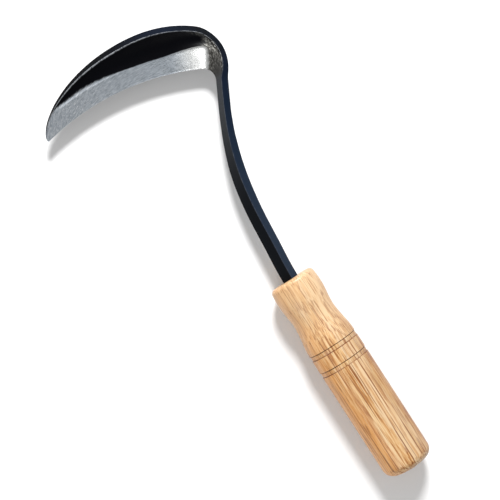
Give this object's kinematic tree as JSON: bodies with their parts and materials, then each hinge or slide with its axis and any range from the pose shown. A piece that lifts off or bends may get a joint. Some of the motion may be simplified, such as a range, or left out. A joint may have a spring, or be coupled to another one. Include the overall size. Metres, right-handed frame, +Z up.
{
  "type": "hand sickle",
  "caption": "Short-handled hand sickle: crescent blade with a ground bevel, S-curved square neck, tang fixed in a turned wooden grip.",
  "frame": {"origin": "on the handle's axis, at the middle of its straight cylindrical grip", "axes": "+X along the handle from the butt towards the blade, +Y to the side that the blade hooks to, +Z up as the sickle lies on its side"},
  "size_m": [0.322, 0.1246, 0.033],
  "materials": {
    "forged_steel": "gloss black lacquer over forged steel, with a bare ground bevel along the cutting edge",
    "turned_wood": "clear-lacquered open-grained hardwood"
  },
  "bodies": {
    "root": {"blade_forging": "forged_steel", "handle": "turned_wood"}
  },
  "joints": []
}
